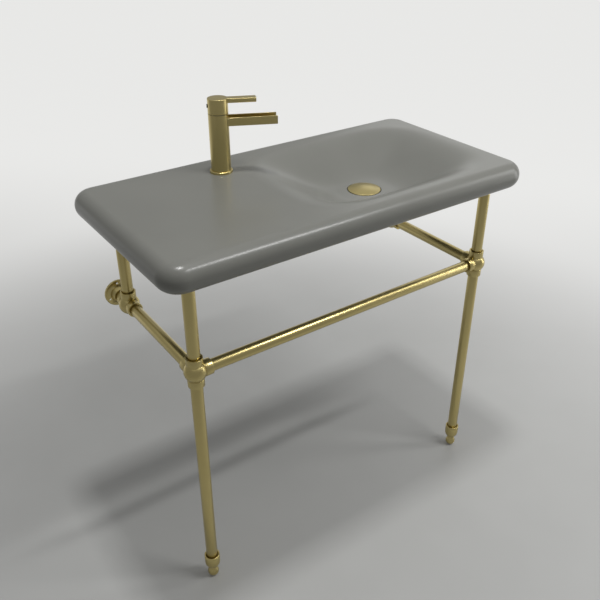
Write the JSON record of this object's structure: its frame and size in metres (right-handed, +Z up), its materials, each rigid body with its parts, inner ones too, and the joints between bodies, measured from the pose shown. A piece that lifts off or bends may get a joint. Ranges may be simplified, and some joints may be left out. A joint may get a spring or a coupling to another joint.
{
  "type": "console wash basin",
  "caption": "Wall-hung rectangular basin with a soft off-centre bowl on a brass console stand with front legs, a single-lever trough faucet and a push drain.",
  "frame": {"origin": "on the wall plane, midway between the basin's hanger holes, 29 mm below the rim", "axes": "+X to the right seen from the front, +Y into the wall, +Z up; the front faces -Y and the floor is at Z = -0.819 m"},
  "size_m": [0.9, 0.438, 1.008],
  "materials": {
    "glaze": "gloss",
    "brass": "satin",
    "rubber": "matte",
    "steel": "satin",
    "plastic": "matte",
    "dark_plastic": "matte",
    "disc_ceramic": "polished"
  },
  "bodies": {
    "basin_and_stand": {"basin": "glaze", "faucet_body": "brass", "faucet_base_ring": "brass", "spout_trough": "brass", "drain_body": "brass", "drain_tailpiece": "brass", "front_rail": "brass", "left_leg": "brass", "left_foot_cup": "brass", "left_front_tee": "brass", "left_rear_tee": "brass", "left_side_rail": "brass", "left_wall_stub": "brass", "left_wall_flange": "brass", "left_front_post": "brass", "left_rear_post": "brass", "left_front_post_cap": "brass", "left_rear_post_cap": "brass", "right_leg": "brass", "right_foot_cup": "brass", "right_front_tee": "brass", "right_rear_tee": "brass", "right_side_rail": "brass", "right_wall_stub": "brass", "right_wall_flange": "brass", "right_front_post": "brass", "right_rear_post": "brass", "right_front_post_cap": "brass", "right_rear_post_cap": "brass", "drain_upper_gasket": "rubber", "drain_lower_gasket": "rubber", "faucet_base_gasket": "rubber", "horseshoe_gasket": "rubber", "post_pads": "rubber", "drain_lock_nut": "steel", "click_spring": "steel", "fixing_stud": "steel", "horseshoe_washer": "steel", "fixing_nut": "steel", "cartridge_nut": "steel", "drain_friction_washer": "plastic", "click_cartridge": "plastic", "click_cartridge_lid": "plastic", "cartridge_housing": "plastic", "fixed_disc": "disc_ceramic"},
    "handle_yoke": {"cartridge_yoke": "plastic", "pivot_pin": "steel"},
    "handle": {"handle_stem": "steel", "handle_cap": "brass", "lever_bar": "brass", "handle_set_screw": "steel", "handle_plug": "dark_plastic"},
    "valve_disc": {"moving_disc": "disc_ceramic"},
    "stopper": {"stopper_cap": "brass", "stopper_plunger": "steel", "stopper_seal": "rubber"},
    "left_foot": {"left_ball_foot": "brass"},
    "right_foot": {"right_ball_foot": "brass"}
  },
  "joints": [
    {"name": "handle_swivel", "type": "hinge", "parent": "basin_and_stand", "child": "handle_yoke", "pos_m": [-0.139, -0.084, 0.164], "axis": [0, 0, 1], "range_deg": [-45, 45]},
    {"name": "handle_lift", "type": "hinge", "parent": "handle_yoke", "child": "handle", "pos_m": [-0.139, -0.084, 0.164], "axis": [-0.4305, -0.9026, 0], "range_deg": [0, 25]},
    {"name": "disc_slide", "type": "slide", "parent": "handle_yoke", "child": "valve_disc", "axis": [0.9026, -0.4305, 0], "range_m": [0, 0.0044]},
    {"name": "stopper_lift", "type": "slide", "parent": "basin_and_stand", "child": "stopper", "axis": [0, 0, 1], "range_m": [0, 0.007], "deforming": ["click_spring"]},
    {"name": "left_foot_level", "type": "slide", "parent": "basin_and_stand", "child": "left_foot", "axis": [0, 0, -1], "range_m": [0, 0.012]},
    {"name": "right_foot_level", "type": "slide", "parent": "basin_and_stand", "child": "right_foot", "axis": [0, 0, -1], "range_m": [0, 0.012]}
  ],
  "couplings": [
    {"joint": "disc_slide", "follows": "handle_lift", "m_per_rad": 0.009977}
  ]
}
